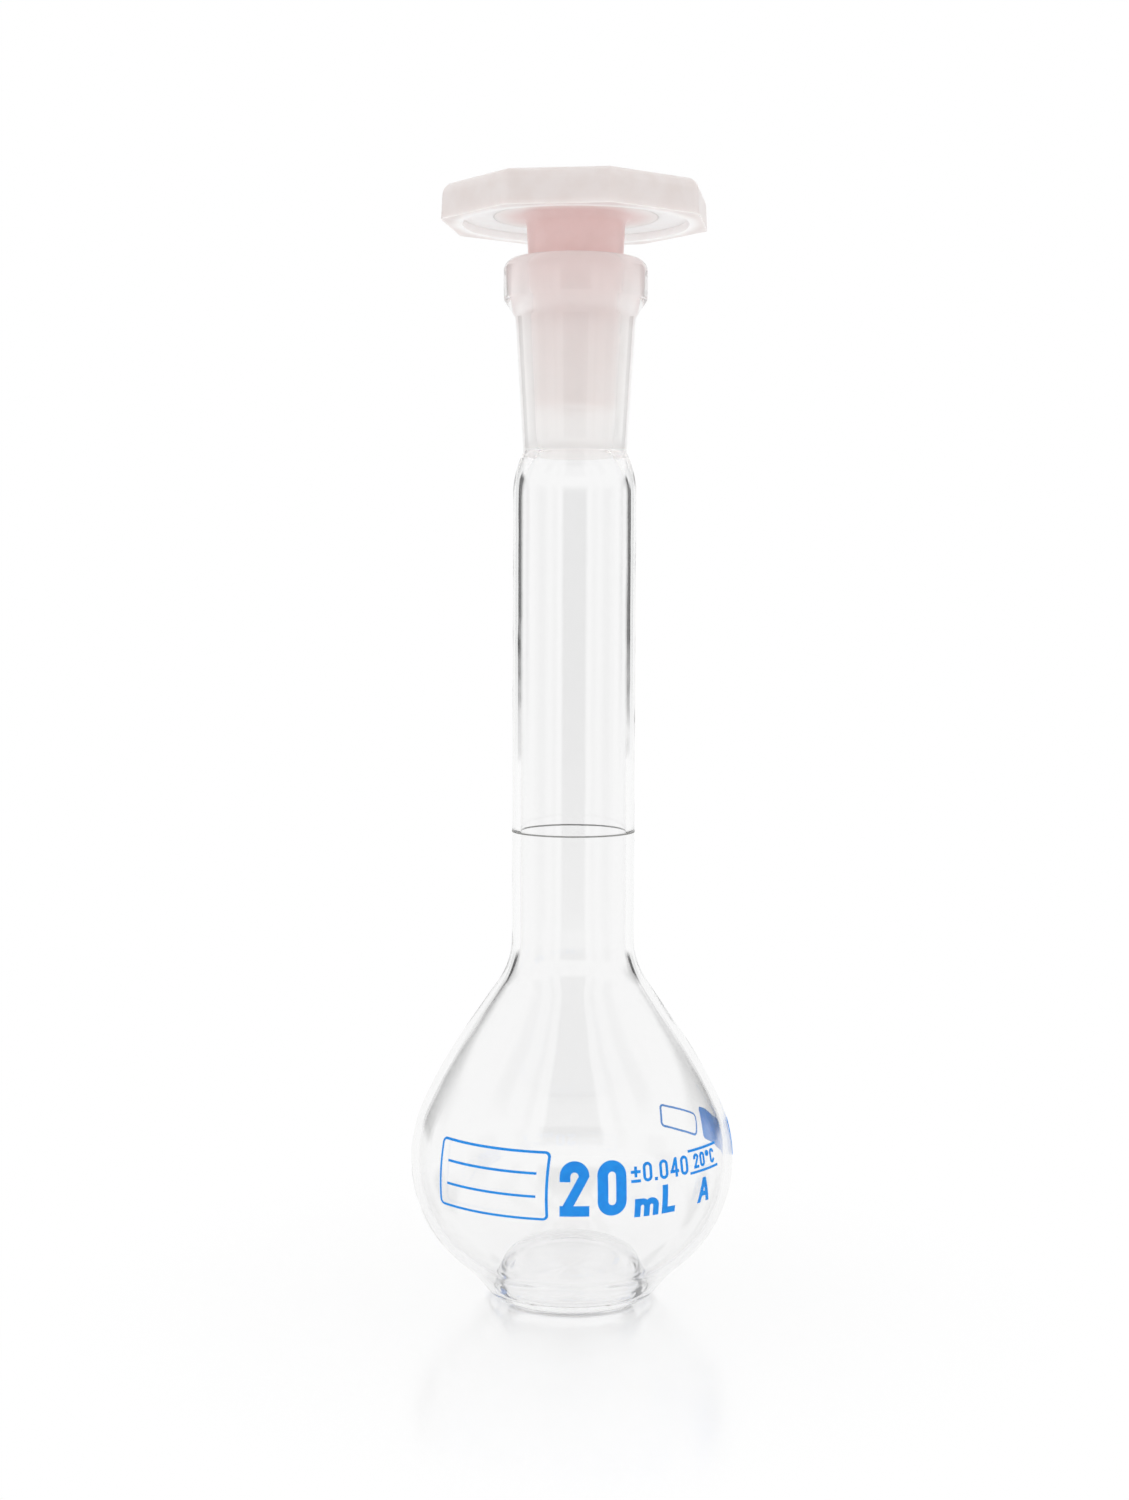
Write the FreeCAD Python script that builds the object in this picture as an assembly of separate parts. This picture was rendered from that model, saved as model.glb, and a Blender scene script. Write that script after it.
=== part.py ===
import FreeCAD, Part
import math
import os

# A 20 mL volumetric flask with a ground socket and an octagonal push-in stopper.
# Millimetres and degrees. The foot stands on z = 0, the flask's axis is Z and the print faces -Y.

# Bulb: the arcs of its half section, from the foot up
FOOT_RADIUS = 7.1        # outer edge of the flat ring that touches the bench
FOOT_RING = 1.8          # width of that ring
PUNT_DEPTH = 0.7         # hollow under the foot, at the axis
HEEL_RADIUS = 2.9
HEEL_COVE = 20.5         # hollow sweep from the heel up to the bulb
BULB_RADIUS = 17.4       # at the widest ring
BULB_HEIGHT = 15.0       # of the widest ring above the bench
LOWER_ARC = 13.9
UPPER_ARC = 15.3
UPPER_TURN = 24.9        # angle above the widest ring where the upper arc ends
SHOULDER_ARC = 52.2
SHOULDER_TURN = 34.4     # angle at which the shoulder runs straight on to the neck
NECK_COVE = 8.2
WALL = 0.85
KICK_HEIGHT = 6.0        # top of the floor inside, which is pushed up to a dome
KICK_ARC = 20.0
KICK_TURN = 75.0         # angle at which the dome turns down
KICK_SHOULDER = 3.6      # rounding from the dome to its steep side
VALLEY_TURN = -50.0      # angle in the heel where that side meets the wall

# Neck and ring mark
NECK_RADIUS = 6.55
NECK_SHOULDER = 4.6      # height over which the neck is drawn in to the socket
MARK_RISE = 11.6         # ring mark above the start of the straight neck
MARK_WIDTH = 0.16
MARK_THICKNESS = 0.05

# Ground socket, a 10/19 standard taper, and its rim
RIM_HEIGHT = 111.3       # of the open flask
JOINT_DIAMETER = 10.0    # wide end of the ground taper
JOINT_LENGTH = 19.0
JOINT_TAPER = 0.1        # diameter lost for each unit of length
SOCKET_WALL = 1.45       # at the socket's lower end
COLLAR_WALL = 1.62       # under the rim
RIM_RADIUS = 7.62
RIM_BAND = 4.2           # upright part of the rim, with its lip
RIM_SLOPE = 1.9          # flare under the band
RIM_EDGE = 0.7           # rounding between flare and band, and between flare and socket
RIM_LIP = 1.2            # fire-polished rounding of the mouth

# Stopper plug
PLUG_CLEARANCE = 0.03
PLUG_DEPTH = 14.6        # how far the plug reaches below the top of the ground taper
PLUG_BORE = 2.4          # radius of the hollow, open at the bottom
PLUG_BORE_DEPTH = 8.4
PLUG_EDGE = 0.4
STEM_FILLET = 1.0
FLANGE_RADIUS = 8.65
FLANGE_THICKNESS = 1.3
SNAP_BEAD = 0.3          # bead round the flange that holds the head on
SWIVEL_CLEARANCE = 0.05

# Stopper head
HEAD_GAP = 3.6           # between the rim and the head
HEAD_ACROSS = 27.0       # across the flats at the underside
HEAD_THICKNESS = 3.8
HEAD_SIDES = 8
HEAD_DRAFT = 3.0
HEAD_TURN = -8.0         # how the stopper happens to stand in the socket
HEAD_EDGE = 1.3          # rounding of the upright and upper edges
RECESS_RADIUS = 12.0
RECESS_DEPTH = 0.8

# Enamel print: a base is the height of a mark's base line, a place is that of its middle along the bulb's
# girth, from the front to the right, and a gap is the bare glass between two marks
PRINT_THICKNESS = 0.06
LETTER_GAP = 0.15        # between letters, as a share of their height
NUMBER_HEIGHT = 5.6
NUMBER_STROKE = 1.1
NUMBER_BASE = 13.2
NUMBER_PLACE = 2.15
UNIT_HEIGHT = 3.0
UNIT_STROKE = 0.66
UNIT_BASE = 12.8
UNIT_GAP = 0.93          # beside the number
TOLERANCE_HEIGHT = 1.95
TOLERANCE_STROKE = 0.3
TOLERANCE_GAP = 0.53     # beside the number
TOLERANCE_RISE = 0.6     # over the unit
CLASS_HEIGHT = 2.6
CLASS_STROKE = 0.5
CLASS_GAP = 0.65         # under the temperature mark
CLASS_SHIFT = 0.3        # to the left of the temperature mark's middle
TEMPERATURE_HEIGHT = 1.5
TEMPERATURE_STROKE = 0.28
TEMPERATURE_BASE = 16.75
TEMPERATURE_GAP = 0.32   # beside the tolerance
RULE_GAP = 0.25          # from the temperature mark to the rules over and under it
RULE_LENGTH = 5.0
FIELD_WIDTH = 13.0
FIELD_HEIGHT = 7.0
FIELD_BASE = 12.7
FIELD_GAP = 1.36         # beside the number
FIELD_LINES = 2
FIELD_MARGIN = 1.2       # from the frame to the ends of the ruled lines
REAR_WIDTH = 6.3
REAR_HEIGHT = 2.8
REAR_BASE = 15.2
REAR_GAP = 1.6           # beside the marking spot
SPOT_WIDTH = 9.0
SPOT_HEIGHT = 3.9
SPOT_BASE = 15.4
SPOT_PLACE = 30.75
LINE_WIDTH = 0.25
FIELD_CORNER = 0.6

# Lettering: shares of a character's height, then shares of its stroke
SMALL_LETTER = 0.64
FOUR_BAR = 0.22
A_BAR = 0.25
C_MOUTH = 0.3
PLUS_CENTRE = 0.55
FOUR_STEM = 1.6          # from the right end of the bar to the left side of the stem
FOUR_SLOPE = 0.6         # from the left end of the bar to the middle of the slope's foot
TWO_TIP = 0.5            # how far the bowl's left end hangs down

ORIGIN = FreeCAD.Vector(0, 0, 0)
UP = FreeCAD.Vector(0, 0, 1)
TINY = 1e-6              # edges shorter than this are left out


# Drawing in the half section, with the radius along X and the height along Z

def at(radius, height):
    return FreeCAD.Vector(radius, 0, height)


def polar(length, angle):
    return at(length * math.cos(math.radians(angle)), length * math.sin(math.radians(angle)))


def angle_of(vector):
    return math.degrees(math.atan2(vector.z, vector.x))


def line(start, end):
    return Part.LineSegment(start, end).toShape()


def arc(centre, radius, start, end):
    points = [centre + polar(radius, angle) for angle in (start, (start + end) / 2, end)]
    return Part.Arc(*points).toShape()


def dome(edge, top):
    """Arc from an edge point up to the axis, where it lies level."""
    rise = top - edge.z
    radius = (edge.x ** 2 + rise ** 2) / (2 * rise)
    centre = at(0, top - radius)
    return arc(centre, radius, angle_of(edge - centre), 90)


def meeting(first, first_reach, second, second_reach):
    """The point at the two given distances from two others, on the side away from the axis."""
    apart = second - first
    span = apart.Length
    along = (first_reach ** 2 - second_reach ** 2 + span ** 2) / (2 * span)
    aside = math.sqrt(first_reach ** 2 - along ** 2)
    apart.normalize()
    return first + apart * along + at(-apart.z, apart.x) * aside


def rounded(corners):
    """Closed outline through the corners, each a point and its rounding radius."""
    starts = []
    ends = []
    edges = []
    for index, (corner, radius) in enumerate(corners):
        before = (corners[index - 1][0] - corner).normalize()
        after = (corners[(index + 1) % len(corners)][0] - corner).normalize()
        half = before.getAngle(after) / 2
        start = corner + before * (radius / math.tan(half))
        end = corner + after * (radius / math.tan(half))
        if radius > 0:
            middle = corner + (before + after).normalize() * (radius / math.sin(half) - radius)
            edges.append(Part.Arc(start, middle, end).toShape())
        starts.append(start)
        ends.append(end)
    for end, start in zip(ends, starts[1:] + starts[:1]):
        if end.distanceToPoint(start) > TINY:
            edges.append(line(end, start))
    return edges


def face_of(edges):
    return Part.Face(Part.Wire(Part.__sortEdges__(edges)))


def turned(edges):
    return face_of(edges).revolve(ORIGIN, UP, 360)


# Glass: centres of the bulb's arcs, and the heights that follow from the sizes above

LOWER_CENTRE = at(BULB_RADIUS - LOWER_ARC, BULB_HEIGHT)
UPPER_CENTRE = at(BULB_RADIUS - UPPER_ARC, BULB_HEIGHT)
SHOULDER_CENTRE = UPPER_CENTRE + polar(UPPER_ARC - SHOULDER_ARC, UPPER_TURN)
HEEL_CENTRE = at(FOOT_RADIUS, HEEL_RADIUS)
HEEL_COVE_CENTRE = meeting(LOWER_CENTRE, LOWER_ARC + HEEL_COVE, HEEL_CENTRE, HEEL_RADIUS + HEEL_COVE)
VALLEY = HEEL_CENTRE + polar(HEEL_RADIUS - WALL, VALLEY_TURN)
KICK_CENTRE = at(0, KICK_HEIGHT - KICK_ARC)
KICK_SHOULDER_CENTRE = KICK_CENTRE + polar(KICK_ARC - KICK_SHOULDER, KICK_TURN)


def neck_cove_centre():
    """Centre of the cove that is tangent to the straight shoulder and to the neck."""
    shoulder_end = SHOULDER_CENTRE + polar(SHOULDER_ARC, SHOULDER_TURN)
    centre = shoulder_end + polar(NECK_COVE, SHOULDER_TURN)
    overhang = centre.x - NECK_RADIUS - NECK_COVE
    return centre + polar(overhang / math.sin(math.radians(SHOULDER_TURN)), SHOULDER_TURN + 90)


NECK_COVE_CENTRE = neck_cove_centre()
NECK_START = NECK_COVE_CENTRE.z
MARK_HEIGHT = NECK_START + MARK_RISE
BORE_RADIUS = NECK_RADIUS - WALL
GROUND_TOP = RIM_HEIGHT - RIM_LIP
SOCKET_BOTTOM = GROUND_TOP - JOINT_LENGTH
NECK_TOP = SOCKET_BOTTOM - NECK_SHOULDER


def joint_radius(height):
    return (JOINT_DIAMETER - JOINT_TAPER * (GROUND_TOP - height)) / 2


def bulb_wall(inset, low_turn):
    """The bulb's half section from an angle in the heel up to the neck, moved in by the inset."""
    heel_turn = angle_of(HEEL_COVE_CENTRE - HEEL_CENTRE)
    belly_turn = angle_of(HEEL_COVE_CENTRE - LOWER_CENTRE)
    shoulder_end = SHOULDER_CENTRE + polar(SHOULDER_ARC - inset, SHOULDER_TURN)
    cove_start = NECK_COVE_CENTRE - polar(NECK_COVE + inset, SHOULDER_TURN)
    return [
        arc(HEEL_CENTRE, HEEL_RADIUS - inset, low_turn, heel_turn),
        arc(HEEL_COVE_CENTRE, HEEL_COVE + inset, heel_turn + 180, belly_turn + 180),
        arc(LOWER_CENTRE, LOWER_ARC - inset, belly_turn, 0),
        arc(UPPER_CENTRE, UPPER_ARC - inset, 0, UPPER_TURN),
        arc(SHOULDER_CENTRE, SHOULDER_ARC - inset, UPPER_TURN, SHOULDER_TURN),
        line(shoulder_end, cove_start),
        arc(NECK_COVE_CENTRE, NECK_COVE + inset, SHOULDER_TURN + 180, 180),
    ]


def inside_wall():
    """The inside of the bulb from the axis, over the pushed-up floor and its steep side, up to the neck."""
    reach = VALLEY - KICK_SHOULDER_CENTRE
    side_turn = angle_of(reach) + math.degrees(math.acos(KICK_SHOULDER / reach.Length))
    side_top = KICK_SHOULDER_CENTRE + polar(KICK_SHOULDER, side_turn)
    floor = [
        arc(KICK_CENTRE, KICK_ARC, 90, KICK_TURN),
        arc(KICK_SHOULDER_CENTRE, KICK_SHOULDER, KICK_TURN, side_turn),
        line(side_top, VALLEY),
    ]
    return floor + bulb_wall(WALL, VALLEY_TURN)


def bulb():
    foot_inner = at(FOOT_RADIUS - FOOT_RING, 0)
    closing = [
        line(at(NECK_RADIUS, NECK_START), at(BORE_RADIUS, NECK_START)),
        line(at(0, KICK_HEIGHT), at(0, PUNT_DEPTH)),
        dome(foot_inner, PUNT_DEPTH),
        line(foot_inner, at(FOOT_RADIUS, 0)),
    ]
    return turned(bulb_wall(0, -90) + inside_wall() + closing)


def shoulder_arc(start, end):
    """Arc that leaves the upright neck smoothly and is drawn in to the end radius."""
    drop = start - end
    radius = (drop ** 2 + NECK_SHOULDER ** 2) / (2 * drop)
    turn = math.degrees(math.asin(NECK_SHOULDER / radius))
    return arc(at(start - radius, NECK_TOP), radius, 0, turn)


def neck_tube():
    top_inner = joint_radius(SOCKET_BOTTOM)
    top_outer = top_inner + SOCKET_WALL
    return turned([
        line(at(NECK_RADIUS, NECK_START), at(NECK_RADIUS, NECK_TOP)),
        shoulder_arc(NECK_RADIUS, top_outer),
        line(at(top_outer, SOCKET_BOTTOM), at(top_inner, SOCKET_BOTTOM)),
        shoulder_arc(BORE_RADIUS, top_inner),
        line(at(BORE_RADIUS, NECK_TOP), at(BORE_RADIUS, NECK_START)),
        line(at(BORE_RADIUS, NECK_START), at(NECK_RADIUS, NECK_START)),
    ])


def ground_socket():
    band_bottom = RIM_HEIGHT - RIM_BAND
    slope_bottom = band_bottom - RIM_SLOPE
    lower_radius = joint_radius(SOCKET_BOTTOM)
    return turned(rounded([
        (at(lower_radius, SOCKET_BOTTOM), 0),
        (at(lower_radius + SOCKET_WALL, SOCKET_BOTTOM), 0),
        (at(joint_radius(slope_bottom) + COLLAR_WALL, slope_bottom), RIM_EDGE),
        (at(RIM_RADIUS, band_bottom), RIM_EDGE),
        (at(RIM_RADIUS, RIM_HEIGHT), RIM_LIP),
        (at(joint_radius(RIM_HEIGHT), RIM_HEIGHT), RIM_LIP),
    ]))


def graduation_ring():
    low = MARK_HEIGHT - MARK_WIDTH / 2
    high = MARK_HEIGHT + MARK_WIDTH / 2
    outer = NECK_RADIUS + MARK_THICKNESS
    corners = [at(NECK_RADIUS, low), at(outer, low), at(outer, high), at(NECK_RADIUS, high)]
    return turned(rounded([(corner, 0) for corner in corners]))


def capacity_ml():
    """Volume inside the flask up to the ring mark."""
    closing = [
        line(at(0, KICK_HEIGHT), at(0, MARK_HEIGHT)),
        line(at(0, MARK_HEIGHT), at(BORE_RADIUS, MARK_HEIGHT)),
        line(at(BORE_RADIUS, MARK_HEIGHT), at(BORE_RADIUS, NECK_START)),
    ]
    return turned(inside_wall() + closing).Volume / 1000


# Stopper: the plug's flange snaps into the head from below, flush with the floor of its recess

HEAD_BOTTOM = RIM_HEIGHT + HEAD_GAP
RECESS_FLOOR = HEAD_BOTTOM + RECESS_DEPTH


def flange_side(clearance):
    """Edge of the flange with its snap bead, from the bottom up, grown by the clearance."""
    radius = FLANGE_RADIUS + clearance
    middle = RECESS_FLOOR + FLANGE_THICKNESS / 2
    return [
        at(radius, RECESS_FLOOR),
        at(radius, middle - SNAP_BEAD),
        at(radius + SNAP_BEAD, middle),
        at(radius, middle + SNAP_BEAD),
        at(radius, RECESS_FLOOR + FLANGE_THICKNESS + clearance),
    ]


def stopper_plug():
    bottom = GROUND_TOP - PLUG_DEPTH
    bore_top = bottom + PLUG_BORE_DEPTH
    cone = [
        (at(0, bore_top), 0),
        (at(PLUG_BORE, bore_top), PLUG_BORE / 2),
        (at(PLUG_BORE, bottom), 0),
        (at(joint_radius(bottom) - PLUG_CLEARANCE, bottom), PLUG_EDGE),
        (at(joint_radius(RECESS_FLOOR) - PLUG_CLEARANCE, RECESS_FLOOR), STEM_FILLET),
    ]
    flange = [(corner, 0) for corner in flange_side(0)]
    return turned(rounded(cone + flange + [(at(0, RECESS_FLOOR + FLANGE_THICKNESS), 0)]))


def head_outline(height):
    """The head's polygon at a height above its underside, one flat facing the front."""
    half_across = HEAD_ACROSS / 2 - height * math.tan(math.radians(HEAD_DRAFT))
    step = 360 / HEAD_SIDES
    reach = half_across / math.cos(math.radians(step / 2))
    corners = []
    for index in range(HEAD_SIDES + 1):
        angle = math.radians(HEAD_TURN - 90 + step * (index + 0.5))
        corners.append(FreeCAD.Vector(reach * math.cos(angle), reach * math.sin(angle), HEAD_BOTTOM + height))
    return Part.makePolygon(corners)


def stopper_head():
    head = Part.makeLoft([head_outline(0), head_outline(HEAD_THICKNESS)], True, True)
    middle = HEAD_BOTTOM + HEAD_THICKNESS / 2
    soft_edges = [edge for edge in head.Edges if max(vertex.Z for vertex in edge.Vertexes) > middle]
    head = head.makeFillet(HEAD_EDGE, soft_edges)
    recess = Part.makeCylinder(RECESS_RADIUS, RECESS_DEPTH, at(0, HEAD_BOTTOM))
    side = flange_side(SWIVEL_CLEARANCE)
    pocket = turned(rounded([(corner, 0) for corner in [at(0, RECESS_FLOOR)] + side + [at(0, side[-1].z)]]))
    return head.cut(recess).cut(pocket)


# Print: each mark is drawn flat in front of the bulb, pushed back through it and kept where it meets a
# thin skin over the glass

STAMP_FRONT = -BULB_RADIUS - WALL
STAMP_REACH = BULB_RADIUS / 2


def print_skin():
    inner_foot = at(FOOT_RADIUS, 0)
    inner_neck = at(NECK_RADIUS, NECK_START)
    closing = [
        line(inner_foot, inner_foot - at(0, PRINT_THICKNESS)),
        line(inner_neck, inner_neck + at(PRINT_THICKNESS, 0)),
    ]
    return turned(bulb_wall(0, -90) + bulb_wall(-PRINT_THICKNESS, -90) + closing)


PRINT_SKIN = print_skin()


def stamp(corners):
    """Solid with the given outline of (across, up, rounding) corners, reaching back into the bulb."""
    outline = [(FreeCAD.Vector(across, STAMP_FRONT, up), radius) for across, up, radius in corners]
    return face_of(rounded(outline)).extrude(FreeCAD.Vector(0, STAMP_REACH, 0))


def panel(left, bottom, right, top, radius=0):
    return stamp([(left, bottom, radius), (right, bottom, radius), (right, top, radius), (left, top, radius)])


def frame(width, height, stroke, radius):
    """Hollow panel on the base line, centred across, its corners rounded inside and out."""
    half = width / 2
    inner_radius = max(radius - stroke, 0)
    inside = panel(stroke - half, stroke, half - stroke, height - stroke, inner_radius)
    return panel(-half, 0, half, height, radius).cut(inside)


def slanted(low, high, thick):
    """Sloping stroke between two (across, up) points, with level ends."""
    half = thick / 2
    return stamp([
        (low[0] - half, low[1], 0),
        (low[0] + half, low[1], 0),
        (high[0] + half, high[1], 0),
        (high[0] - half, high[1], 0),
    ])


def joined(solids):
    return solids[0].multiFuse(solids[1:]).removeSplitter()


def zero(width, height, stroke):
    return frame(width, height, stroke, width / 2)


def two(width, height, stroke):
    half = width / 2
    bowl_centre = height - half
    bowl = zero(width, height, stroke).common(panel(-half, bowl_centre, half, height))
    return joined([
        bowl,
        panel(-half, bowl_centre - stroke * TWO_TIP, stroke - half, bowl_centre),
        slanted((stroke / 2 - half, stroke / 2), (half - stroke / 2, bowl_centre), stroke),
        panel(-half, 0, half, stroke),
    ])


def four(width, height, stroke):
    half = width / 2
    cross = height * FOUR_BAR
    stem = half - stroke * FOUR_STEM
    return joined([
        panel(stem, 0, stem + stroke, height),
        panel(-half, cross, half, cross + stroke),
        slanted((stroke * FOUR_SLOPE - half, cross + stroke / 2), (stem + stroke / 2, height), stroke),
    ])


def point(width, height, stroke):
    return panel(-width / 2, 0, width / 2, width)


def plus_minus(width, height, stroke):
    half = width / 2
    cross = height * PLUS_CENTRE
    return joined([
        panel(-stroke / 2, cross - half, stroke / 2, cross + half),
        panel(-half, cross - stroke / 2, half, cross + stroke / 2),
    ]).fuse(panel(-half, 0, half, stroke))


def letter_m(width, height, stroke):
    lower = height * SMALL_LETTER
    pitch = (width - stroke) / 2
    arch_radius = (pitch + stroke) / 2
    stems = []
    arches = []
    for index in range(3):
        left = index * pitch - width / 2
        stems.append(panel(left, 0, left + stroke, lower if index == 0 else lower - arch_radius))
    for index in range(2):
        middle = (index - 0.5) * pitch
        arch = zero(2 * arch_radius, lower, stroke)
        arch = arch.common(panel(-arch_radius, lower - arch_radius, arch_radius, lower))
        arch.translate(at(middle, 0))
        arches.append(arch)
    return joined(stems + arches)


def letter_l(width, height, stroke):
    half = width / 2
    return joined([panel(-half, 0, stroke - half, height), panel(-half, 0, half, stroke)])


def letter_a(width, height, stroke):
    half = width / 2
    leg = half - stroke / 2
    bar = height * A_BAR
    reach = leg * (1 - bar / height)
    return joined([
        slanted((-leg, 0), (0, height), stroke),
        slanted((leg, 0), (0, height), stroke),
        panel(-reach, bar, reach, bar + stroke),
    ])


def letter_c(width, height, stroke):
    half = width / 2
    opening = height * C_MOUTH
    return zero(width, height, stroke).cut(panel(0, opening, half + stroke, height - opening))


def degree(width, height, stroke):
    ring = frame(width, width, stroke, width / 2)
    ring.translate(at(0, height - width))
    return ring


# Each character's drawing and its width as a share of its height
CHARACTERS = {
    "0": (zero, 0.54),
    "2": (two, 0.54),
    "4": (four, 0.58),
    ".": (point, 0.17),
    "±": (plus_minus, 0.55),
    "m": (letter_m, 0.92),
    "L": (letter_l, 0.55),
    "A": (letter_a, 0.78),
    "°": (degree, 0.42),
    "C": (letter_c, 0.54),
}


def half_width(text, height):
    """Half the length of a line of characters."""
    shares = [CHARACTERS[character][1] for character in text]
    return height * (sum(shares) + LETTER_GAP * (len(text) - 1)) / 2


# Texts, and the places that follow from the sizes above
NUMBER, UNIT = "20 mL".split()
TOLERANCE = "±0.040"
CLASS = "A"
TEMPERATURE = "20°C"
NUMBER_HALF = half_width(NUMBER, NUMBER_HEIGHT)
TOLERANCE_HALF = half_width(TOLERANCE, TOLERANCE_HEIGHT)
UNIT_PLACE = NUMBER_PLACE + NUMBER_HALF + UNIT_GAP + half_width(UNIT, UNIT_HEIGHT)
TOLERANCE_PLACE = NUMBER_PLACE + NUMBER_HALF + TOLERANCE_GAP + TOLERANCE_HALF
TOLERANCE_BASE = UNIT_BASE + UNIT_HEIGHT + TOLERANCE_RISE
TEMPERATURE_PLACE = TOLERANCE_PLACE + TOLERANCE_HALF + TEMPERATURE_GAP + RULE_LENGTH / 2
CLASS_PLACE = TEMPERATURE_PLACE - CLASS_SHIFT
CLASS_BASE = TEMPERATURE_BASE - RULE_GAP - LINE_WIDTH - CLASS_GAP - CLASS_HEIGHT
FIELD_PLACE = NUMBER_PLACE - NUMBER_HALF - FIELD_GAP - FIELD_WIDTH / 2
REAR_PLACE = SPOT_PLACE + SPOT_WIDTH / 2 + REAR_GAP + REAR_WIDTH / 2


def printed(mark, place, base):
    """The mark on the bulb's surface, as a list of thin solids."""
    mark.translate(at(0, base))
    solids = mark.common(PRINT_SKIN).Solids
    for solid in solids:
        solid.rotate(ORIGIN, UP, math.degrees(place / BULB_RADIUS))
    return solids


def written(text, place, base, height, stroke):
    """A line of characters along the bulb, its middle at the place."""
    left = place - half_width(text, height)
    solids = []
    for character in text:
        draw, share = CHARACTERS[character]
        width = share * height
        solids += printed(draw(width, height, stroke), left + width / 2, base)
        left += width + LETTER_GAP * height
    return solids


def capacity_number():
    return Part.makeCompound(written(NUMBER, NUMBER_PLACE, NUMBER_BASE, NUMBER_HEIGHT, NUMBER_STROKE))


def capacity_unit():
    return Part.makeCompound(written(UNIT, UNIT_PLACE, UNIT_BASE, UNIT_HEIGHT, UNIT_STROKE))


def tolerance_mark():
    solids = written(TOLERANCE, TOLERANCE_PLACE, TOLERANCE_BASE, TOLERANCE_HEIGHT, TOLERANCE_STROKE)
    return Part.makeCompound(solids)


def class_mark():
    return Part.makeCompound(written(CLASS, CLASS_PLACE, CLASS_BASE, CLASS_HEIGHT, CLASS_STROKE))


def temperature_mark():
    solids = written(
        TEMPERATURE, TEMPERATURE_PLACE, TEMPERATURE_BASE, TEMPERATURE_HEIGHT, TEMPERATURE_STROKE
    )
    for rule in (-RULE_GAP - LINE_WIDTH, TEMPERATURE_HEIGHT + RULE_GAP):
        bar = panel(-RULE_LENGTH / 2, 0, RULE_LENGTH / 2, LINE_WIDTH)
        solids += printed(bar, TEMPERATURE_PLACE, TEMPERATURE_BASE + rule)
    return Part.makeCompound(solids)


def write_on_field():
    solids = printed(frame(FIELD_WIDTH, FIELD_HEIGHT, LINE_WIDTH, FIELD_CORNER), FIELD_PLACE, FIELD_BASE)
    half = FIELD_WIDTH / 2 - FIELD_MARGIN
    for index in range(FIELD_LINES):
        rise = FIELD_HEIGHT * (index + 1) / (FIELD_LINES + 1)
        solids += printed(panel(-half, 0, half, LINE_WIDTH), FIELD_PLACE, FIELD_BASE + rise)
    return Part.makeCompound(solids)


def rear_field():
    outline = frame(REAR_WIDTH, REAR_HEIGHT, LINE_WIDTH, FIELD_CORNER)
    return Part.makeCompound(printed(outline, REAR_PLACE, REAR_BASE))


def marking_spot():
    spot = panel(-SPOT_WIDTH / 2, 0, SPOT_WIDTH / 2, SPOT_HEIGHT, FIELD_CORNER)
    return Part.makeCompound(printed(spot, SPOT_PLACE, SPOT_BASE))


PIECES = [
    bulb,
    neck_tube,
    ground_socket,
    graduation_ring,
    capacity_number,
    capacity_unit,
    tolerance_mark,
    class_mark,
    temperature_mark,
    write_on_field,
    rear_field,
    marking_spot,
    stopper_plug,
    stopper_head,
]

os.makedirs("parts", exist_ok=True)
for piece in PIECES:
    piece().exportStep("parts/" + piece.__name__ + ".step")
print("neck starts at %.2f, ring mark at %.2f, capacity %.2f mL" % (NECK_START, MARK_HEIGHT, capacity_ml()))
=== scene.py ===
import math

import bpy
from mathutils import Matrix, Vector


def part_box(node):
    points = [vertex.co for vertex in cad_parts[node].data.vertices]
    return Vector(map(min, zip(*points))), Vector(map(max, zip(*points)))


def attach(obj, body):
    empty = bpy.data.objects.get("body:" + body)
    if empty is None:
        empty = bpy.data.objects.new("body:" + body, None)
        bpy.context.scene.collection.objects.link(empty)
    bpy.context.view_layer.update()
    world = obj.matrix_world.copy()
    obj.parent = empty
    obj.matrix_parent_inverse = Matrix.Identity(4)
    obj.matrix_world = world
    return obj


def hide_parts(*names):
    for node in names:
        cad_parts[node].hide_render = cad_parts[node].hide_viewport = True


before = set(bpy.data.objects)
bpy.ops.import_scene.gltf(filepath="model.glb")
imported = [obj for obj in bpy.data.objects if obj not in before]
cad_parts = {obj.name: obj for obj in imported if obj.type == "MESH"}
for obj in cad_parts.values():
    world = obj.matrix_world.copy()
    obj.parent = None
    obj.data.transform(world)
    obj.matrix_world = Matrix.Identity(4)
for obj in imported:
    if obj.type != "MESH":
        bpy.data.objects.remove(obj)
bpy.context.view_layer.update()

# A 20 mL volumetric flask: one piece of blown glass, fired-on print and a two-piece plastic stopper.
# Sizes are in millimetres and angles in degrees, and meshes are written in metres.

MM = 0.001


def span_of(node):
    """A CAD node's lowest and highest corner, in millimetres."""
    low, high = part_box(node)
    return low / MM, high / MM


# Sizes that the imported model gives

BULB_RADIUS = span_of("bulb")[1].x
NECK_RADIUS = span_of("neck_tube")[1].x
NECK_START = span_of("bulb")[1].z
SOCKET_BOTTOM = span_of("ground_socket")[0].z
RIM_HEIGHT = span_of("ground_socket")[1].z
RIM_RADIUS = span_of("ground_socket")[1].x
FLANGE_RADIUS = span_of("stopper_plug")[1].x
PLUG_BOTTOM = span_of("stopper_plug")[0].z
PLUG_TOP = span_of("stopper_plug")[1].z

# Sizes of the glass section, as the CAD model has them

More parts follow.
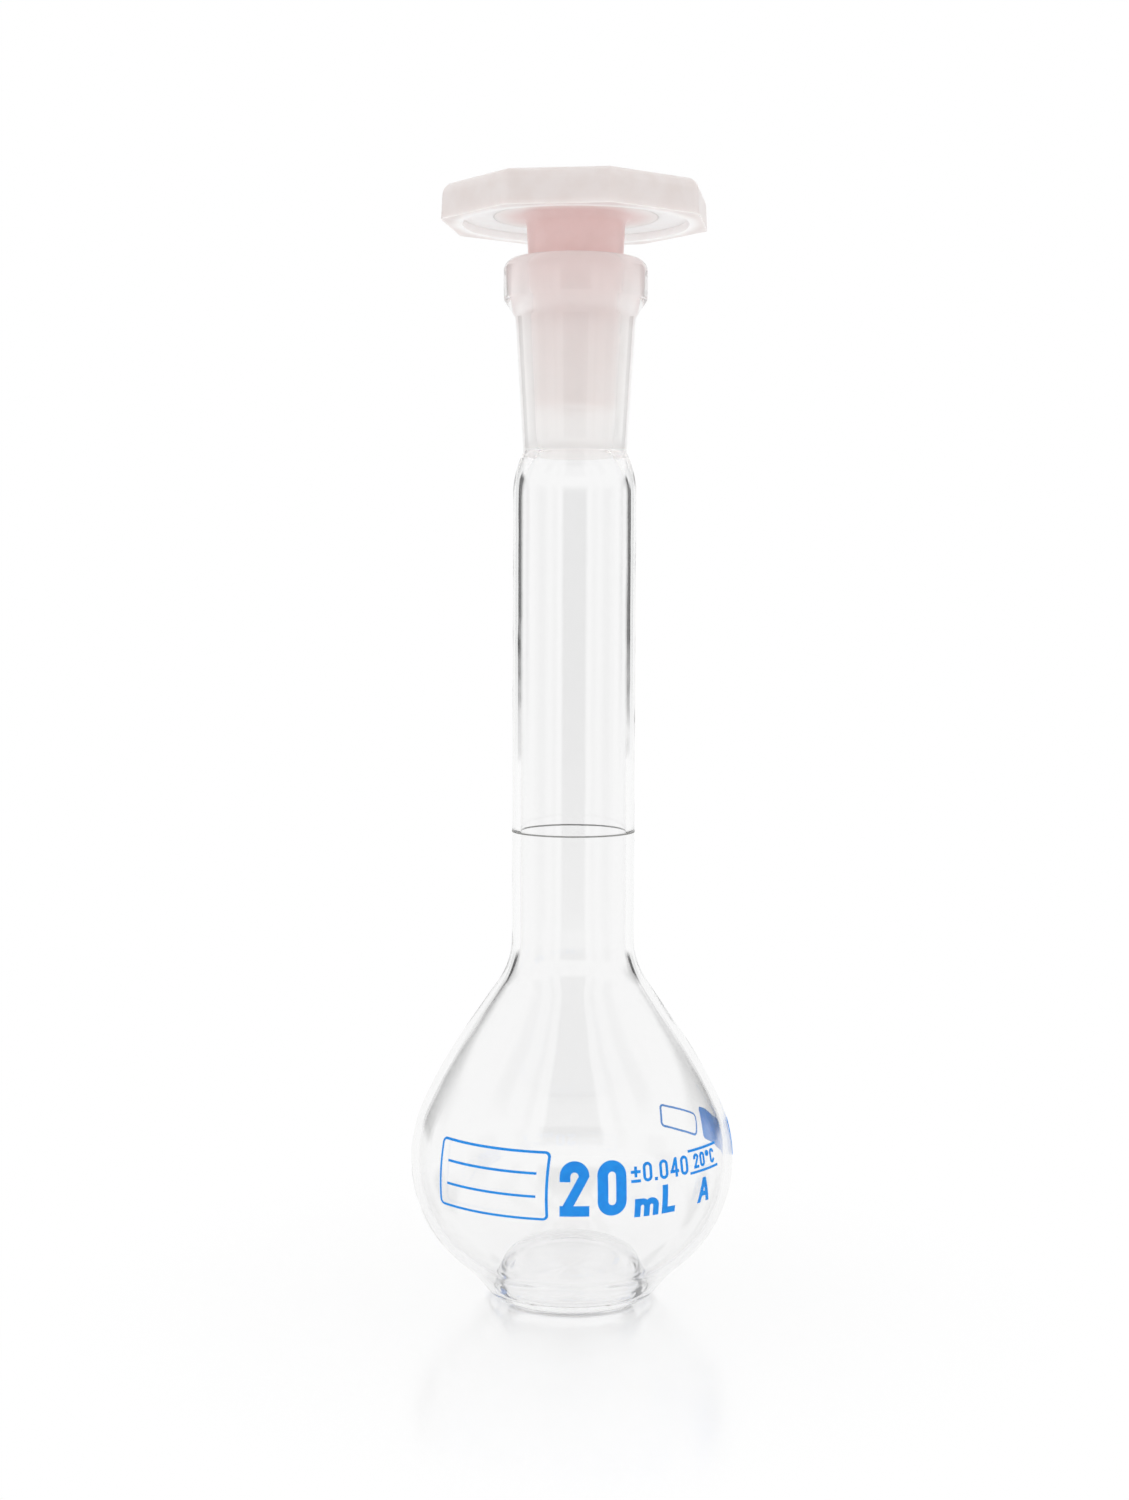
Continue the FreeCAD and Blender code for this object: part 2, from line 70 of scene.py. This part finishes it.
FOOT_RADIUS = 7.1
FOOT_RING = 1.8
PUNT_DEPTH = 0.7
KICK_HEIGHT = 6.0
KICK_ARC = 20.0
KICK_TURN = 75.0
KICK_SHOULDER = 3.6
VALLEY_TURN = -50.0
HEEL_RADIUS = 2.9
HEEL_COVE = 20.5
BULB_HEIGHT = 15.0
LOWER_ARC = 13.9
UPPER_ARC = 15.3
UPPER_TURN = 24.9
SHOULDER_ARC = 52.2
SHOULDER_TURN = 34.4
NECK_COVE = 8.2
WALL = 0.85
NECK_SHOULDER = 4.6
JOINT_DIAMETER = 10.0
JOINT_TAPER = 0.1
SOCKET_WALL = 1.45
COLLAR_WALL = 1.62
RIM_BAND = 4.2
RIM_SLOPE = 1.9
RIM_EDGE = 0.7
RIM_LIP = 1.2

NECK_TOP = SOCKET_BOTTOM - NECK_SHOULDER
BAND_HEIGHT = RIM_HEIGHT - RIM_BAND
COLLAR_HEIGHT = BAND_HEIGHT - RIM_SLOPE
GROUND_TOP = RIM_HEIGHT - RIM_LIP
BORE_RADIUS = NECK_RADIUS - WALL

# How the glass is drawn
ENAMEL_BITE = 0.02       # fired enamel sinks this far into the glass
ROUND_STEPS = 256        # facets round the axis
ARC_STEP = 0.4           # longest facet along a round stretch of the section
ARC_TURN = 8.0           # largest turn from one such facet to the next
LINE_STEP = 2.0          # longest facet along a straight stretch


# Nodes and colours

def add_node(tree, kind, inputs=None, stops=None, **settings):
    """Adds one node. An input is a plain value, or an output socket to link from."""
    node = tree.nodes.new(kind)
    for name, value in settings.items():
        setattr(node, name, value)
    for name, value in (inputs or {}).items():
        if isinstance(value, bpy.types.NodeSocket):
            tree.links.new(value, node.inputs[name])
        else:
            node.inputs[name].default_value = value
    for index, (place, value) in enumerate(stops or []):
        ramp = node.color_ramp.elements
        stop = ramp[index] if index < 2 else ramp.new(place)
        stop.position = place
        stop.color = value
    return node


def colour(code):
    """Linear colour of an sRGB hex code."""
    channels = [int(code[index:index + 2], 16) / 255 for index in (1, 3, 5)]
    linear = [c / 12.92 if c <= 0.04045 else ((c + 0.055) / 1.055) ** 2.4 for c in channels]
    return (*linear, 1.0)


def grey(level):
    return (level, level, level, 1.0)


def new_material(name):
    material = bpy.data.materials.new(name)
    material.use_nodes = True
    material.node_tree.nodes.clear()
    return material, material.node_tree


# Finishes of the glass

GLASS_INDEX = 1.473      # refraction of borosilicate glass
WAVER_SIZE = 5.0         # slow unevenness of blown glass
WAVER_DEPTH = 0.03
RIM_ROUGHNESS = 0.1      # left by the flame that rounds the rim
GRIT_SIZE = 0.25         # pits of the ground face
GRIT_DEPTH = 0.02
GLOW = (0.02, 0.42)      # share of light that soaks through the ground face, at the collar and at the rim


def upwards(tree, height, start, end, low, high):
    """A value that changes smoothly from low to high between two heights."""
    share = add_node(tree, "ShaderNodeMapRange", {
        "Value": height,
        "From Min": start,
        "From Max": end,
        "To Min": low,
        "To Max": high,
    }, interpolation_type="SMOOTHSTEP")
    return share.outputs["Result"]


def blown_borosilicate_glass():
    """Clear blown glass: sharp reflections whose edges waver a little, softer on the fire-polished rim, and
    greyer where it is seen edge-on.
    """
    material, tree = new_material("blown_borosilicate_glass")
    place = add_node(tree, "ShaderNodeTexCoord")
    axes = add_node(tree, "ShaderNodeSeparateXYZ", {"Vector": place.outputs["Object"]})
    worked = upwards(tree, axes.outputs["Z"], COLLAR_HEIGHT * MM, BAND_HEIGHT * MM, 0.0, RIM_ROUGHNESS)
    swell = add_node(tree, "ShaderNodeTexNoise", {
        "Vector": place.outputs["Object"],
        "Scale": 1 / (WAVER_SIZE * MM),
        "Detail": 1.0,
    })
    bump = add_node(tree, "ShaderNodeBump", {
        "Height": swell.outputs["Fac"],
        "Strength": 1.0,
        "Distance": WAVER_DEPTH * MM,
    })
    # The glass is tinted greyer where it is seen edge-on.
    slant = add_node(tree, "ShaderNodeLayerWeight", {"Blend": 0.5})
    edge_on_grey = add_node(tree, "ShaderNodeValToRGB", {"Fac": slant.outputs["Facing"]}, stops=[
        (0.55, colour("#FBFBFB")),
        (1.0, colour("#E4E4E4")),
    ])
    surface = add_node(tree, "ShaderNodeBsdfPrincipled", {
        "Base Color": edge_on_grey.outputs["Color"],
        "Roughness": worked,
        "IOR": GLASS_INDEX,
        "Transmission Weight": 1.0,
        "Normal": bump.outputs["Normal"],
    })
    add_node(tree, "ShaderNodeOutputMaterial", {"Surface": surface.outputs["BSDF"]})
    return material


def ground_borosilicate_glass():
    """Glass ground with fine grit: a dry white bloom that shows the plug faintly and glows at the rim."""
    material, tree = new_material("ground_borosilicate_glass")
    place = add_node(tree, "ShaderNodeTexCoord")
    axes = add_node(tree, "ShaderNodeSeparateXYZ", {"Vector": place.outputs["Object"]})
    glow = upwards(tree, axes.outputs["Z"], COLLAR_HEIGHT * MM, GROUND_TOP * MM, *GLOW)
    grit = add_node(tree, "ShaderNodeTexNoise", {
        "Vector": place.outputs["Object"],
        "Scale": 1 / (GRIT_SIZE * MM),
        "Detail": 3.0,
    })
    bump = add_node(tree, "ShaderNodeBump", {
        "Height": grit.outputs["Fac"],
        "Strength": 0.2,
        "Distance": GRIT_DEPTH * MM,
    })
    bloom = add_node(tree, "ShaderNodeBsdfPrincipled", {
        "Base Color": colour("#FEFDFC"),
        "Roughness": 0.3,
        "IOR": GLASS_INDEX,
        "Transmission Weight": 0.36,
    })
    through = add_node(tree, "ShaderNodeBsdfTranslucent", {
        "Color": colour("#FEFDFC"),
        "Normal": bump.outputs["Normal"],
    })
    surface = add_node(tree, "ShaderNodeMixShader", {
        "Fac": glow,
        1: bloom.outputs["BSDF"],
        2: through.outputs["BSDF"],
    })
    add_node(tree, "ShaderNodeOutputMaterial", {"Surface": surface.outputs["Shader"]})
    return material


# Drawing the glass section: points are (radius, height)

def polar(centre, length, angle):
    turn = math.radians(angle)
    return Vector((centre[0] + length * math.cos(turn), centre[1] + length * math.sin(turn)))


def angle_of(vector):
    return math.degrees(math.atan2(vector[1], vector[0]))


def arc(centre, radius, start, end):
    turn = abs(end - start)
    steps = math.ceil(max(turn / ARC_TURN, math.radians(turn) * radius / ARC_STEP))
    return [polar(centre, radius, start + (end - start) * step / steps) for step in range(steps + 1)]


def dome(edge, top):
    """Arc from an edge point up to the axis, where it lies level."""
    rise = top - edge[1]
    radius = (edge[0] ** 2 + rise ** 2) / (2 * rise)
    centre = Vector((0, top - radius))
    return arc(centre, radius, angle_of(Vector(edge) - centre), 90)


def spread(points):
    """The same path with more points along its straight stretches."""
    path = points[:1]
    for start, end in zip(points, points[1:]):
        steps = max(1, math.ceil((end - start).length / LINE_STEP))
        path += [start.lerp(end, step / steps) for step in range(1, steps + 1)]
    return path


def meeting(first, first_reach, second, second_reach):
    """The point at the two given distances from two others, on the side away from the axis."""
    apart = second - first
    span = apart.length
    along = (first_reach ** 2 - second_reach ** 2 + span ** 2) / (2 * span)
    aside = math.sqrt(first_reach ** 2 - along ** 2)
    direction = apart.normalized()
    return first + direction * along + Vector((-direction.y, direction.x)) * aside


def rounded(before, corner, after, radius):
    """Arc of the given radius that rounds a corner between two other points."""
    to_before = (before - corner).normalized()
    to_after = (after - corner).normalized()
    half = to_before.angle(to_after) / 2
    start = corner + to_before * (radius / math.tan(half))
    end = corner + to_after * (radius / math.tan(half))
    centre = corner + (to_before + to_after).normalized() * (radius / math.sin(half))
    turn = angle_of(start - centre)
    sweep = (angle_of(end - centre) - turn + 180) % 360 - 180
    return arc(centre, radius, turn, turn + sweep)


LOWER_CENTRE = Vector((BULB_RADIUS - LOWER_ARC, BULB_HEIGHT))
UPPER_CENTRE = Vector((BULB_RADIUS - UPPER_ARC, BULB_HEIGHT))
SHOULDER_CENTRE = polar(UPPER_CENTRE, UPPER_ARC - SHOULDER_ARC, UPPER_TURN)
HEEL_CENTRE = Vector((FOOT_RADIUS, HEEL_RADIUS))
HEEL_COVE_CENTRE = meeting(LOWER_CENTRE, LOWER_ARC + HEEL_COVE, HEEL_CENTRE, HEEL_RADIUS + HEEL_COVE)
VALLEY = polar(HEEL_CENTRE, HEEL_RADIUS - WALL, VALLEY_TURN)
NECK_COVE_CENTRE = Vector((NECK_RADIUS + NECK_COVE, NECK_START))
KICK_CENTRE = Vector((0, KICK_HEIGHT - KICK_ARC))
KICK_SHOULDER_CENTRE = polar(KICK_CENTRE, KICK_ARC - KICK_SHOULDER, KICK_TURN)


def joint_radius(height):
    return (JOINT_DIAMETER - JOINT_TAPER * (GROUND_TOP - height)) / 2


def kick():
    """Section of the pushed-up floor, from the top of its steep side to the axis."""
    reach = VALLEY - KICK_SHOULDER_CENTRE
    side_turn = angle_of(reach) + math.degrees(math.acos(KICK_SHOULDER / reach.length))
    return (
        arc(KICK_SHOULDER_CENTRE, KICK_SHOULDER, side_turn, KICK_TURN)
        + arc(KICK_CENTRE, KICK_ARC, KICK_TURN, 90)[1:]
    )


def bulb_wall(inset, low_turn):
    """The bulb's section from an angle in the heel up to the neck, moved in by the inset."""
    heel_turn = angle_of(HEEL_COVE_CENTRE - HEEL_CENTRE)
    belly_turn = angle_of(HEEL_COVE_CENTRE - LOWER_CENTRE)
    return (
        arc(HEEL_CENTRE, HEEL_RADIUS - inset, low_turn, heel_turn)
        + arc(HEEL_COVE_CENTRE, HEEL_COVE + inset, heel_turn + 180, belly_turn + 180)[1:]
        + arc(LOWER_CENTRE, LOWER_ARC - inset, belly_turn, 0)[1:]
        + arc(UPPER_CENTRE, UPPER_ARC - inset, 0, UPPER_TURN)[1:]
        + arc(SHOULDER_CENTRE, SHOULDER_ARC - inset, UPPER_TURN, SHOULDER_TURN)[1:]
        + arc(NECK_COVE_CENTRE, NECK_COVE + inset, SHOULDER_TURN + 180, 180)
    )


def neck_shoulder(start, end):
    """Arc that leaves the upright neck smoothly and is drawn in to the end radius."""
    drop = start - end
    radius = (drop ** 2 + NECK_SHOULDER ** 2) / (2 * drop)
    turn = math.degrees(math.asin(NECK_SHOULDER / radius))
    return arc(Vector((start - radius, NECK_TOP)), radius, 0, turn)


def glass_section():
    """Points of the glass in three stretches: outside from under the foot, ground taper, inside."""
    punt = dome((FOOT_RADIUS - FOOT_RING, 0), PUNT_DEPTH)[::-1]
    throat = Vector((joint_radius(SOCKET_BOTTOM), SOCKET_BOTTOM))
    socket = throat + Vector((SOCKET_WALL, 0))
    collar = Vector((joint_radius(COLLAR_HEIGHT) + COLLAR_WALL, COLLAR_HEIGHT))
    band = Vector((RIM_RADIUS, BAND_HEIGHT))
    lip = Vector((RIM_RADIUS, RIM_HEIGHT))
    mouth = Vector((joint_radius(RIM_HEIGHT), RIM_HEIGHT))
    outside = (
        punt
        + [Vector((radius, max(height, 0))) for radius, height in bulb_wall(-ENAMEL_BITE, -90)]
        + neck_shoulder(NECK_RADIUS + ENAMEL_BITE, socket.x)
        + rounded(socket, collar, band, RIM_EDGE)
        + rounded(collar, band, lip, RIM_EDGE)
        + rounded(band, lip, mouth, RIM_LIP)
    )
    ground = rounded(lip, mouth, throat, RIM_LIP) + [throat]
    inside = neck_shoulder(BORE_RADIUS, throat.x)[::-1] + bulb_wall(WALL, VALLEY_TURN)[::-1] + kick()
    return spread(outside), spread(ground), spread(inside)[1:]


def flask_glass():
    """The glass in one piece, turned from its section."""
    clear_finish = 0
    ground_finish = 1
    outside, ground, inside = glass_section()
    section = outside + ground + inside
    first_ground = len(outside)
    first_inside = first_ground + len(ground)
    vertices = [(0, 0, section[0].y * MM)]
    faces = []
    finishes = []
    for radius, height in section[1:-1]:
        for step in range(ROUND_STEPS):
            turn = math.tau * step / ROUND_STEPS
            vertices.append((radius * math.cos(turn) * MM, radius * math.sin(turn) * MM, height * MM))
    last = len(vertices)
    vertices.append((0, 0, section[-1].y * MM))
    rows = len(section) - 2
    for step in range(ROUND_STEPS):
        after = (step + 1) % ROUND_STEPS
        faces.append((0, 1 + after, 1 + step))
        finishes.append(clear_finish)
        for row in range(1, rows):
            low = 1 + (row - 1) * ROUND_STEPS
            high = low + ROUND_STEPS
            faces.append((low + step, low + after, high + after, high + step))
            on_taper = first_ground <= row < first_inside - 1
            finishes.append(ground_finish if on_taper else clear_finish)
        top = last - ROUND_STEPS
        faces.append((top + step, top + after, last))
        finishes.append(clear_finish)
    mesh = bpy.data.meshes.new("flask_glass")
    mesh.from_pydata(vertices, [], faces)
    mesh.polygons.foreach_set("use_smooth", [True] * len(faces))
    mesh.materials.append(blown_borosilicate_glass())
    mesh.materials.append(ground_borosilicate_glass())
    mesh.polygons.foreach_set("material_index", finishes)
    mesh.update()
    glass = bpy.data.objects.new("flask_glass", mesh)
    bpy.context.scene.collection.objects.link(glass)
    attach(glass, "flask")
    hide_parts("bulb", "neck_tube", "ground_socket")


# Sizes of the stopper, as the CAD model has them

STEM_RADIUS = 5.0
HEAD_ACROSS = 27.0
RECESS_RADIUS = 12.0
RECESS_SHARE = 0.22      # the recess's depth as a share of the head's thickness

# Finishes of the print and the plastic

SOAK = 0.7               # how far light spreads in the plastic
HOLLOW_PAINTED_LIGHT = 0.65   # how much paler the plug's thin lower end is painted, as painted light, beside 1 at the edge of its flange
FILM_SIZE = 0.6          # patches in the enamel
CLOUD_SIZE = 2.5         # clouds in the plastic
SKIN_SIZE = 0.5          # unevenness of its moulded skin
SKIN_DEPTH = 0.03


def fired_enamel(name, code, darker, through):
    """Fired-on glass enamel: an even satin colour, patchy where the thin film lets light through."""
    material, tree = new_material(name)
    place = add_node(tree, "ShaderNodeTexCoord")
    film = add_node(tree, "ShaderNodeTexNoise", {
        "Vector": place.outputs["Object"],
        "Scale": 1 / (FILM_SIZE * MM),
        "Detail": 3.0,
    })
    tint = add_node(tree, "ShaderNodeValToRGB", {"Fac": film.outputs["Fac"]}, stops=[
        (0.35, colour(darker)),
        (0.65, colour(code)),
    ])
    face = add_node(tree, "ShaderNodeBsdfPrincipled", {
        "Base Color": tint.outputs["Color"],
        "Roughness": 0.45,
        "IOR": 1.5,
        "Specular IOR Level": 0.2,
    })
    glow = add_node(tree, "ShaderNodeBsdfTranslucent", {"Color": colour(through)})
    surface = add_node(tree, "ShaderNodeMixShader", {
        "Fac": 0.5,
        1: face.outputs["BSDF"],
        2: glow.outputs["BSDF"],
    })
    add_node(tree, "ShaderNodeOutputMaterial", {"Surface": surface.outputs["Shader"]})
    return material


def outwards(tree, place, start, end, low, high):
    """A value that changes smoothly from low to high between two distances from the axis."""
    flat = add_node(tree, "ShaderNodeVectorMath", {
        0: place.outputs["Object"],
        1: (1.0, 1.0, 0.0),
    }, operation="MULTIPLY")
    radius = add_node(tree, "ShaderNodeVectorMath", {0: flat.outputs["Vector"]}, operation="LENGTH")
    return upwards(tree, radius.outputs["Value"], start * MM, end * MM, low, high)


def where_the_plug_is_painted_lighter(tree, place):
    """Mask of painted light on the plug: is 0 in its solid stem, and rises down its hollow, painted paler as
    if lit through the thin wall, and at the edge of its flange, painted paler to lift the shade under the
    head.
    """
    axes = add_node(tree, "ShaderNodeSeparateXYZ", {"Vector": place.outputs["Generated"]})
    rim_share = (RIM_HEIGHT - PLUG_BOTTOM) / (PLUG_TOP - PLUG_BOTTOM)
    # painted light: the hollow lower end is painted paler, as if lit through its thin wall
    hollow = upwards(tree, axes.outputs["Z"], 0.0, rim_share, HOLLOW_PAINTED_LIGHT, 0.0)
    # painted light: the flange's edge is painted paler to lift the shade under the head
    flange = outwards(tree, place, STEM_RADIUS, FLANGE_RADIUS, 0.0, 1.0)
    either = add_node(tree, "ShaderNodeMath", {0: hollow, 1: flange}, operation="MAXIMUM")
    return either.outputs["Value"]


def painted_light_under_the_head(tree, place):
    """Mask of painted light under the head: is 1 in the recess under the head, painted paler as if lit from
    the floor below, and falls to 0 at its sides and above the recess.
    """
    axes = add_node(tree, "ShaderNodeSeparateXYZ", {"Vector": place.outputs["Generated"]})
    # painted light: the underside is painted paler than the facets, as if lit from below
    low = upwards(tree, axes.outputs["Z"], RECESS_SHARE, 2 * RECESS_SHARE, 1.0, 0.0)
    inner = outwards(tree, place, RECESS_RADIUS, HEAD_ACROSS / 2, 1.0, 0.0)
    both = add_node(tree, "ShaderNodeMath", {0: low, 1: inner}, operation="MULTIPLY")
    return both.outputs["Value"]


def moulded_polyethylene(name, main, painted_lighter, where):
    """Moulded polyethylene: waxy, faintly cloudy, with light soaking through it, and painted lighter in one
    place, as painted light.
    """
    material, tree = new_material(name)
    place = add_node(tree, "ShaderNodeTexCoord")
    # the paler colour is painted light, laid on where the mask is high
    tint = add_node(tree, "ShaderNodeValToRGB", {"Fac": where(tree, place)}, stops=[
        (0.0, colour(main)),
        (1.0, colour(painted_lighter)),
    ])
    cloud = add_node(tree, "ShaderNodeTexNoise", {
        "Vector": place.outputs["Object"],
        "Scale": 1 / (CLOUD_SIZE * MM),
        "Detail": 4.0,
    })
    haze = add_node(tree, "ShaderNodeValToRGB", {"Fac": cloud.outputs["Fac"]}, stops=[
        (0.35, colour("#FBF9F8")),
        (0.6, colour("#FFFFFF")),
    ])
    clouded = add_node(tree, "ShaderNodeMix", {
        "Factor": 1.0,
        "A": tint.outputs["Color"],
        "B": haze.outputs["Color"],
    }, data_type="RGBA", blend_type="MULTIPLY")
    skin = add_node(tree, "ShaderNodeTexNoise", {
        "Vector": place.outputs["Object"],
        "Scale": 1 / (SKIN_SIZE * MM),
        "Detail": 2.0,
    })
    bump = add_node(tree, "ShaderNodeBump", {
        "Height": skin.outputs["Fac"],
        "Strength": 0.15,
        "Distance": SKIN_DEPTH * MM,
    })
    surface = add_node(tree, "ShaderNodeBsdfPrincipled", {
        "Base Color": clouded.outputs["Result"],
        "Roughness": 0.35,
        "IOR": 1.52,
        "Subsurface Weight": 1.0,
        "Subsurface Radius": (SOAK * MM, SOAK * MM, SOAK * MM),
        "Subsurface Scale": 1.0,
        "Normal": bump.outputs["Normal"],
    })
    add_node(tree, "ShaderNodeOutputMaterial", {"Surface": surface.outputs["BSDF"]})
    return material


def finish_node(node, material):
    """Gives a CAD node its material."""
    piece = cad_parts[node]
    piece.data.materials.clear()
    piece.data.materials.append(material)


BLUE_MARKS = [
    "capacity_number",
    "capacity_unit",
    "tolerance_mark",
    "class_mark",
    "temperature_mark",
    "write_on_field",
    "rear_field",
    "marking_spot",
]


# Studio: a white sweep behind, two tall softboxes in front, and darker room between them

FLOOR_RADIUS = 90.0      # beyond it the room goes on in the same white
FLOOR_DROP = 0.05        # keeps the floor clear of the foot
FADE_START = 12.0        # radii over which the floor fades into plain white
FADE_END = 60.0
FADE = (0.3, 1.0)        # share of plain white at those radii
PICTURE_HEIGHT = 1500
FOCAL_PIXELS = 2230
CAMERA_PLACE = Vector((-0.98, -239.0, 75.7))
CAMERA_PITCH = 3.925
CAMERA_ROLL = 0.24


# Grey levels that reflections in the glass show, by degrees round from straight behind the flask:
# the softboxes and the gaps beside them, and the dark edges of the sweep near the horizon and higher up
SOFTBOXES = [
    (99, 1.0),
    (103, 0.5),
    (117, 0.5),
    (120, 0.95),
    (135, 0.95),
    (136.5, 0.6),
    (142.5, 0.6),
    (144, 1.0),
    (154.5, 1.0),
    (156.5, 0.03),
]
LOW_SWEEP = [(-56, 1.0), (-54, 0.05), (-36, 0.05), (-34, 1.0), (34, 1.0), (36, 0.05), (54, 0.05), (56, 1.0)]
HIGH_SWEEP = [(-70, 1.0), (-50, 0.05), (-32, 0.05), (-30, 1.0), (40, 1.0), (42, 0.05), (62, 0.05), (80, 1.0)]

# How strong those zones are, by degrees up from the horizon, and where the sweep's higher edges take over
SWEEP_HEIGHTS = [(-4.5, 0.0), (-1, 1.0), (16, 1.0), (20, 0.0)]
SOFTBOX_HEIGHTS = [(-15, 0.0), (-3, 1.0), (8, 1.0), (12, 0.0), (30, 0.0), (36, 1.0)]
HIGHER = [(6, 0.0), (14, 1.0)]


def levels_round(tree, turn, levels):
    """A grey level for each direction round the room, from degrees and levels."""
    stops = [(0.5 + degrees / 360, grey(level)) for degrees, level in levels]
    return add_node(tree, "ShaderNodeValToRGB", {"Fac": turn}, stops=stops).outputs["Color"]


def levels_up(tree, rise, levels):
    """A grey level for each height in the room, from degrees and levels."""
    stops = [(0.5 + math.sin(math.radians(degrees)) / 2, grey(level)) for degrees, level in levels]
    return add_node(tree, "ShaderNodeValToRGB", {"Fac": rise}, stops=stops).outputs["Color"]


def studio_world():
    """A white room all round, whose darker zones are seen only in reflections."""
    world = bpy.data.worlds.new("white_studio")
    world.use_nodes = True
    tree = world.node_tree
    tree.nodes.clear()
    path = add_node(tree, "ShaderNodeLightPath")
    place = add_node(tree, "ShaderNodeTexCoord")
    axes = add_node(tree, "ShaderNodeSeparateXYZ", {"Vector": place.outputs["Generated"]})
    turn = add_node(tree, "ShaderNodeMath", {
        0: axes.outputs["X"],
        1: axes.outputs["Y"],
    }, operation="ARCTAN2")
    round_share = add_node(tree, "ShaderNodeMath", {
        0: turn.outputs["Value"],
        1: 1 / math.tau,
        2: 0.5,
    }, operation="MULTIPLY_ADD").outputs["Value"]
    rise = add_node(tree, "ShaderNodeMath", {
        0: axes.outputs["Z"],
        1: 0.5,
        2: 0.5,
    }, operation="MULTIPLY_ADD").outputs["Value"]
    behind = add_node(tree, "ShaderNodeMix", {
        "Factor": levels_up(tree, rise, HIGHER),
        "A": levels_round(tree, round_share, LOW_SWEEP),
        "B": levels_round(tree, round_share, HIGH_SWEEP),
    }, data_type="RGBA")
    sweep = add_node(tree, "ShaderNodeMix", {
        "Factor": levels_up(tree, rise, SWEEP_HEIGHTS),
        "A": grey(1.0),
        "B": behind.outputs["Result"],
    }, data_type="RGBA")
    around = [(-degrees, level) for degrees, level in reversed(SOFTBOXES)] + SOFTBOXES
    studio = add_node(tree, "ShaderNodeMix", {
        "Factor": levels_up(tree, rise, SOFTBOX_HEIGHTS),
        "A": sweep.outputs["Result"],
        "B": levels_round(tree, round_share, around),
    }, data_type="RGBA", blend_type="MULTIPLY")
    reflected = add_node(tree, "ShaderNodeMath", {
        0: path.outputs["Glossy Depth"],
        1: 0.5,
    }, operation="GREATER_THAN")
    unscattered = add_node(tree, "ShaderNodeMath", {
        0: path.outputs["Diffuse Depth"],
        1: 0.5,
    }, operation="LESS_THAN")
    shown = add_node(tree, "ShaderNodeMath", {
        0: reflected.outputs["Value"],
        1: unscattered.outputs["Value"],
    }, operation="MULTIPLY")
    seen = add_node(tree, "ShaderNodeMix", {
        "Factor": shown.outputs["Value"],
        "A": grey(1.0),
        "B": studio.outputs["Result"],
    }, data_type="RGBA")
    light = add_node(tree, "ShaderNodeBackground", {"Color": seen.outputs["Result"], "Strength": 1.0})
    add_node(tree, "ShaderNodeOutputWorld", {"Surface": light.outputs["Background"]})
    bpy.context.scene.world = world


def studio_floor():
    """A sheet of white acrylic: it mirrors the foot faintly and fades into the white room."""
    mesh = bpy.data.meshes.new("floor")
    corners = [polar((0, 0), FLOOR_RADIUS * MM, 360 * step / ROUND_STEPS) for step in range(ROUND_STEPS)]
    mesh.from_pydata([(x, y, -FLOOR_DROP * MM) for x, y in corners], [], [list(range(ROUND_STEPS))])
    floor = bpy.data.objects.new("floor", mesh)
    bpy.context.scene.collection.objects.link(floor)
    material, tree = new_material("white_acrylic_sheet")
    place = add_node(tree, "ShaderNodeTexCoord")
    away = add_node(tree, "ShaderNodeVectorMath", {0: place.outputs["Object"]}, operation="LENGTH")
    body = add_node(tree, "ShaderNodeBsdfPrincipled", {
        "Base Color": colour("#F8F8F8"),
        "Roughness": 0.12,
        "IOR": 1.49,
    })
    polish = add_node(tree, "ShaderNodeBsdfAnisotropic", {"Color": grey(1.0), "Roughness": 0.2})
    sheet = add_node(tree, "ShaderNodeMixShader", {
        "Fac": 0.5,
        1: body.outputs["BSDF"],
        2: polish.outputs["BSDF"],
    })
    white = add_node(tree, "ShaderNodeEmission", {"Color": grey(1.0), "Strength": 1.0})
    mixed = add_node(tree, "ShaderNodeMixShader", {
        "Fac": upwards(tree, away.outputs["Value"], FADE_START * MM, FADE_END * MM, *FADE),
        1: sheet.outputs["Shader"],
        2: white.outputs["Emission"],
    })
    add_node(tree, "ShaderNodeOutputMaterial", {"Surface": mixed.outputs["Shader"]})
    mesh.materials.append(material)


def studio_camera():
    """Looks at the flask from where the photo was taken."""
    camera = bpy.data.cameras.new("camera")
    camera.sensor_fit = "VERTICAL"
    camera.lens = camera.sensor_height * FOCAL_PIXELS / PICTURE_HEIGHT
    camera.clip_start = 0.01
    holder = bpy.data.objects.new("camera", camera)
    stand = Matrix.Translation(CAMERA_PLACE * MM)
    tilt = Matrix.Rotation(math.radians(90 - CAMERA_PITCH), 4, "X")
    holder.matrix_world = stand @ tilt @ Matrix.Rotation(math.radians(CAMERA_ROLL), 4, "Z")
    bpy.context.scene.collection.objects.link(holder)
    bpy.context.scene.camera = holder


flask_glass()
blue = fired_enamel("fired_blue_enamel", "#18A8FF", "#1498F5", "#A4E2FF")
for mark in BLUE_MARKS:
    finish_node(mark, blue)
grey_line = fired_enamel("fired_grey_enamel", "#B0B0AE", "#A0A09E", "#D8D8D6")
finish_node("graduation_ring", grey_line)
# The plug is painted lighter down its hollow and at its flange's edge: painted light.
finish_node(
    "stopper_plug",
    moulded_polyethylene("moulded_pink_polyethylene", "#E7CCCA", "#F2EEEC", where_the_plug_is_painted_lighter),
)
# The head is painted lighter in the recess under it: painted light from below.
finish_node(
    "stopper_head",
    moulded_polyethylene("moulded_milky_polyethylene", "#E4DDDB", "#FEFEFD", painted_light_under_the_head),
)
studio_world()
studio_floor()
studio_camera()
bpy.context.scene.view_settings.view_transform = "Standard"

# Light passes many glass faces, and the mirrored zones stay sharp
cycles = bpy.context.scene.cycles
cycles.max_bounces = 32
cycles.diffuse_bounces = 12
cycles.glossy_bounces = 24
cycles.transmission_bounces = 32
cycles.blur_glossy = 0.0
